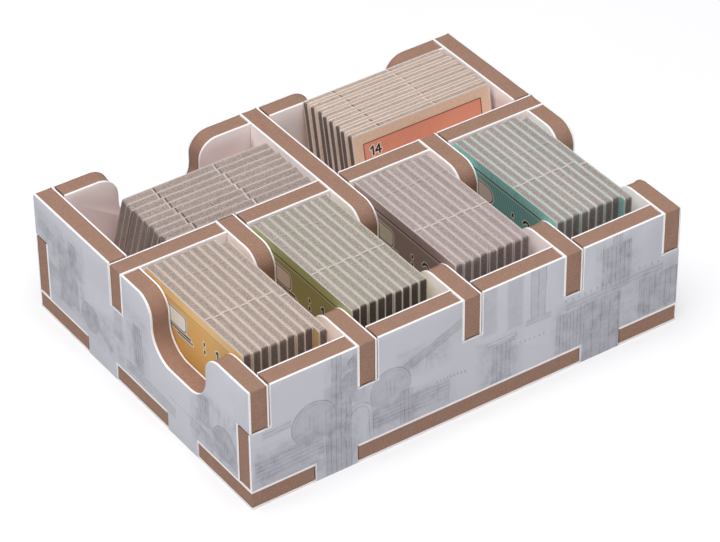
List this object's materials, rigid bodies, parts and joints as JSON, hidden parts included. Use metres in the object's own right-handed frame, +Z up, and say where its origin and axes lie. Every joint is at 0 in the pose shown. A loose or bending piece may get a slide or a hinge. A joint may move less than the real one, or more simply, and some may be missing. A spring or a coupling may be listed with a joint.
{
  "type": "board game box insert",
  "caption": "Open slotted foam-board tray for a game box, parted into bays that hold stacks of punched greyboard tiles, with finger cutouts in the walls.",
  "frame": {"origin": "middle of the tray's footprint, on the surface that it stands on", "axes": "+X along the long front wall to the right, +Y to the back, +Z up"},
  "size_m": [0.114, 0.0872, 0.0325],
  "materials": {
    "plain_board": "matte",
    "printed_board": "matte",
    "yellow_tile": "matte",
    "green_tile": "matte",
    "mauve_tile": "matte",
    "teal_tile": "matte",
    "rose_tile": "matte",
    "peach_tile": "matte"
  },
  "bodies": {
    "tray": {"base": "printed_board", "front_wall": "printed_board", "back_wall": "printed_board", "left_wall": "printed_board", "right_wall": "printed_board", "long_divider": "plain_board", "middle_divider": "plain_board", "short_dividers": "plain_board"},
    "yellow_tile_1": {"yellow_tile_1": "yellow_tile"},
    "yellow_tile_2": {"yellow_tile_2": "yellow_tile"},
    "yellow_tile_3": {"yellow_tile_3": "yellow_tile"},
    "yellow_tile_4": {"yellow_tile_4": "yellow_tile"},
    "yellow_tile_5": {"yellow_tile_5": "yellow_tile"},
    "yellow_tile_6": {"yellow_tile_6": "yellow_tile"},
    "yellow_tile_7": {"yellow_tile_7": "yellow_tile"},
    "yellow_tile_8": {"yellow_tile_8": "yellow_tile"},
    "yellow_tile_9": {"yellow_tile_9": "yellow_tile"},
    "green_tile_1": {"green_tile_1": "green_tile"},
    "green_tile_2": {"green_tile_2": "green_tile"},
    "green_tile_3": {"green_tile_3": "green_tile"},
    "green_tile_4": {"green_tile_4": "green_tile"},
    "green_tile_5": {"green_tile_5": "green_tile"},
    "green_tile_6": {"green_tile_6": "green_tile"},
    "green_tile_7": {"green_tile_7": "green_tile"},
    "green_tile_8": {"green_tile_8": "green_tile"},
    "green_tile_9": {"green_tile_9": "green_tile"},
    "mauve_tile_1": {"mauve_tile_1": "mauve_tile"},
    "mauve_tile_2": {"mauve_tile_2": "mauve_tile"},
    "mauve_tile_3": {"mauve_tile_3": "mauve_tile"},
    "mauve_tile_4": {"mauve_tile_4": "mauve_tile"},
    "mauve_tile_5": {"mauve_tile_5": "mauve_tile"},
    "mauve_tile_6": {"mauve_tile_6": "mauve_tile"},
    "mauve_tile_7": {"mauve_tile_7": "mauve_tile"},
    "mauve_tile_8": {"mauve_tile_8": "mauve_tile"},
    "mauve_tile_9": {"mauve_tile_9": "mauve_tile"},
    "teal_tile_1": {"teal_tile_1": "teal_tile"},
    "teal_tile_2": {"teal_tile_2": "teal_tile"},
    "teal_tile_3": {"teal_tile_3": "teal_tile"},
    "teal_tile_4": {"teal_tile_4": "teal_tile"},
    "teal_tile_5": {"teal_tile_5": "teal_tile"},
    "teal_tile_6": {"teal_tile_6": "teal_tile"},
    "teal_tile_7": {"teal_tile_7": "teal_tile"},
    "teal_tile_8": {"teal_tile_8": "teal_tile"},
    "teal_tile_9": {"teal_tile_9": "teal_tile"},
    "rose_tile_1": {"rose_tile_1": "rose_tile"},
    "rose_tile_2": {"rose_tile_2": "rose_tile"},
    "rose_tile_3": {"rose_tile_3": "rose_tile"},
    "rose_tile_4": {"rose_tile_4": "rose_tile"},
    "rose_tile_5": {"rose_tile_5": "rose_tile"},
    "rose_tile_6": {"rose_tile_6": "rose_tile"},
    "rose_tile_7": {"rose_tile_7": "rose_tile"},
    "rose_tile_8": {"rose_tile_8": "rose_tile"},
    "peach_tile_1": {"peach_tile_1": "peach_tile"},
    "peach_tile_2": {"peach_tile_2": "peach_tile"},
    "peach_tile_3": {"peach_tile_3": "peach_tile"},
    "peach_tile_4": {"peach_tile_4": "peach_tile"},
    "peach_tile_5": {"peach_tile_5": "peach_tile"},
    "peach_tile_6": {"peach_tile_6": "peach_tile"},
    "peach_tile_7": {"peach_tile_7": "peach_tile"},
    "peach_tile_8": {"peach_tile_8": "peach_tile"}
  },
  "joints": [
    {"name": "lift_yellow_tile_1", "type": "slide", "parent": "tray", "child": "yellow_tile_1", "axis": [0, 0, 1], "range_m": [0, 0.06]},
    {"name": "lift_yellow_tile_2", "type": "slide", "parent": "tray", "child": "yellow_tile_2", "axis": [0, 0, 1], "range_m": [0, 0.06]},
    {"name": "lift_yellow_tile_3", "type": "slide", "parent": "tray", "child": "yellow_tile_3", "axis": [0, 0, 1], "range_m": [0, 0.06]},
    {"name": "lift_yellow_tile_4", "type": "slide", "parent": "tray", "child": "yellow_tile_4", "axis": [0, 0, 1], "range_m": [0, 0.06]},
    {"name": "lift_yellow_tile_5", "type": "slide", "parent": "tray", "child": "yellow_tile_5", "axis": [0, 0, 1], "range_m": [0, 0.06]},
    {"name": "lift_yellow_tile_6", "type": "slide", "parent": "tray", "child": "yellow_tile_6", "axis": [0, 0, 1], "range_m": [0, 0.06]},
    {"name": "lift_yellow_tile_7", "type": "slide", "parent": "tray", "child": "yellow_tile_7", "axis": [0, 0, 1], "range_m": [0, 0.06]},
    {"name": "lift_yellow_tile_8", "type": "slide", "parent": "tray", "child": "yellow_tile_8", "axis": [0, 0, 1], "range_m": [0, 0.06]},
    {"name": "lift_yellow_tile_9", "type": "slide", "parent": "tray", "child": "yellow_tile_9", "axis": [0, 0, 1], "range_m": [0, 0.06]},
    {"name": "lift_green_tile_1", "type": "slide", "parent": "tray", "child": "green_tile_1", "axis": [0, 0, 1], "range_m": [0, 0.06]},
    {"name": "lift_green_tile_2", "type": "slide", "parent": "tray", "child": "green_tile_2", "axis": [0, 0, 1], "range_m": [0, 0.06]},
    {"name": "lift_green_tile_3", "type": "slide", "parent": "tray", "child": "green_tile_3", "axis": [0, 0, 1], "range_m": [0, 0.06]},
    {"name": "lift_green_tile_4", "type": "slide", "parent": "tray", "child": "green_tile_4", "axis": [0, 0, 1], "range_m": [0, 0.06]},
    {"name": "lift_green_tile_5", "type": "slide", "parent": "tray", "child": "green_tile_5", "axis": [0, 0, 1], "range_m": [0, 0.06]},
    {"name": "lift_green_tile_6", "type": "slide", "parent": "tray", "child": "green_tile_6", "axis": [0, 0, 1], "range_m": [0, 0.06]},
    {"name": "lift_green_tile_7", "type": "slide", "parent": "tray", "child": "green_tile_7", "axis": [0, 0, 1], "range_m": [0, 0.06]},
    {"name": "lift_green_tile_8", "type": "slide", "parent": "tray", "child": "green_tile_8", "axis": [0, 0, 1], "range_m": [0, 0.06]},
    {"name": "lift_green_tile_9", "type": "slide", "parent": "tray", "child": "green_tile_9", "axis": [0, 0, 1], "range_m": [0, 0.06]},
    {"name": "lift_mauve_tile_1", "type": "slide", "parent": "tray", "child": "mauve_tile_1", "axis": [0, 0, 1], "range_m": [0, 0.06]},
    {"name": "lift_mauve_tile_2", "type": "slide", "parent": "tray", "child": "mauve_tile_2", "axis": [0, 0, 1], "range_m": [0, 0.06]},
    {"name": "lift_mauve_tile_3", "type": "slide", "parent": "tray", "child": "mauve_tile_3", "axis": [0, 0, 1], "range_m": [0, 0.06]},
    {"name": "lift_mauve_tile_4", "type": "slide", "parent": "tray", "child": "mauve_tile_4", "axis": [0, 0, 1], "range_m": [0, 0.06]},
    {"name": "lift_mauve_tile_5", "type": "slide", "parent": "tray", "child": "mauve_tile_5", "axis": [0, 0, 1], "range_m": [0, 0.06]},
    {"name": "lift_mauve_tile_6", "type": "slide", "parent": "tray", "child": "mauve_tile_6", "axis": [0, 0, 1], "range_m": [0, 0.06]},
    {"name": "lift_mauve_tile_7", "type": "slide", "parent": "tray", "child": "mauve_tile_7", "axis": [0, 0, 1], "range_m": [0, 0.06]},
    {"name": "lift_mauve_tile_8", "type": "slide", "parent": "tray", "child": "mauve_tile_8", "axis": [0, 0, 1], "range_m": [0, 0.06]},
    {"name": "lift_mauve_tile_9", "type": "slide", "parent": "tray", "child": "mauve_tile_9", "axis": [0, 0, 1], "range_m": [0, 0.06]},
    {"name": "lift_teal_tile_1", "type": "slide", "parent": "tray", "child": "teal_tile_1", "axis": [0, 0, 1], "range_m": [0, 0.06]},
    {"name": "lift_teal_tile_2", "type": "slide", "parent": "tray", "child": "teal_tile_2", "axis": [0, 0, 1], "range_m": [0, 0.06]},
    {"name": "lift_teal_tile_3", "type": "slide", "parent": "tray", "child": "teal_tile_3", "axis": [0, 0, 1], "range_m": [0, 0.06]},
    {"name": "lift_teal_tile_4", "type": "slide", "parent": "tray", "child": "teal_tile_4", "axis": [0, 0, 1], "range_m": [0, 0.06]},
    {"name": "lift_teal_tile_5", "type": "slide", "parent": "tray", "child": "teal_tile_5", "axis": [0, 0, 1], "range_m": [0, 0.06]},
    {"name": "lift_teal_tile_6", "type": "slide", "parent": "tray", "child": "teal_tile_6", "axis": [0, 0, 1], "range_m": [0, 0.06]},
    {"name": "lift_teal_tile_7", "type": "slide", "parent": "tray", "child": "teal_tile_7", "axis": [0, 0, 1], "range_m": [0, 0.06]},
    {"name": "lift_teal_tile_8", "type": "slide", "parent": "tray", "child": "teal_tile_8", "axis": [0, 0, 1], "range_m": [0, 0.06]},
    {"name": "lift_teal_tile_9", "type": "slide", "parent": "tray", "child": "teal_tile_9", "axis": [0, 0, 1], "range_m": [0, 0.06]},
    {"name": "lift_rose_tile_1", "type": "slide", "parent": "tray", "child": "rose_tile_1", "axis": [0, -0.314, 0.9494], "range_m": [0, 0.03]},
    {"name": "lift_rose_tile_2", "type": "slide", "parent": "tray", "child": "rose_tile_2", "axis": [0, -0.314, 0.9494], "range_m": [0, 0.03]},
    {"name": "lift_rose_tile_3", "type": "slide", "parent": "tray", "child": "rose_tile_3", "axis": [0, -0.314, 0.9494], "range_m": [0, 0.03]},
    {"name": "lift_rose_tile_4", "type": "slide", "parent": "tray", "child": "rose_tile_4", "axis": [0, -0.314, 0.9494], "range_m": [0, 0.03]},
    {"name": "lift_rose_tile_5", "type": "slide", "parent": "tray", "child": "rose_tile_5", "axis": [0, -0.314, 0.9494], "range_m": [0, 0.03]},
    {"name": "lift_rose_tile_6", "type": "slide", "parent": "tray", "child": "rose_tile_6", "axis": [0, -0.314, 0.9494], "range_m": [0, 0.03]},
    {"name": "lift_rose_tile_7", "type": "slide", "parent": "tray", "child": "rose_tile_7", "axis": [0, -0.314, 0.9494], "range_m": [0, 0.03]},
    {"name": "lift_rose_tile_8", "type": "slide", "parent": "tray", "child": "rose_tile_8", "axis": [0, -0.314, 0.9494], "range_m": [0, 0.03]},
    {"name": "lift_peach_tile_1", "type": "slide", "parent": "tray", "child": "peach_tile_1", "axis": [0, 0.1832, 0.9831], "range_m": [0, 0.03]},
    {"name": "lift_peach_tile_2", "type": "slide", "parent": "tray", "child": "peach_tile_2", "axis": [0, 0.1832, 0.9831], "range_m": [0, 0.03]},
    {"name": "lift_peach_tile_3", "type": "slide", "parent": "tray", "child": "peach_tile_3", "axis": [0, 0.1832, 0.9831], "range_m": [0, 0.03]},
    {"name": "lift_peach_tile_4", "type": "slide", "parent": "tray", "child": "peach_tile_4", "axis": [0, 0.1832, 0.9831], "range_m": [0, 0.03]},
    {"name": "lift_peach_tile_5", "type": "slide", "parent": "tray", "child": "peach_tile_5", "axis": [0, 0.1832, 0.9831], "range_m": [0, 0.03]},
    {"name": "lift_peach_tile_6", "type": "slide", "parent": "tray", "child": "peach_tile_6", "axis": [0, 0.1832, 0.9831], "range_m": [0, 0.03]},
    {"name": "lift_peach_tile_7", "type": "slide", "parent": "tray", "child": "peach_tile_7", "axis": [0, 0.1832, 0.9831], "range_m": [0, 0.03]},
    {"name": "lift_peach_tile_8", "type": "slide", "parent": "tray", "child": "peach_tile_8", "axis": [0, 0.1832, 0.9831], "range_m": [0, 0.03]}
  ]
}
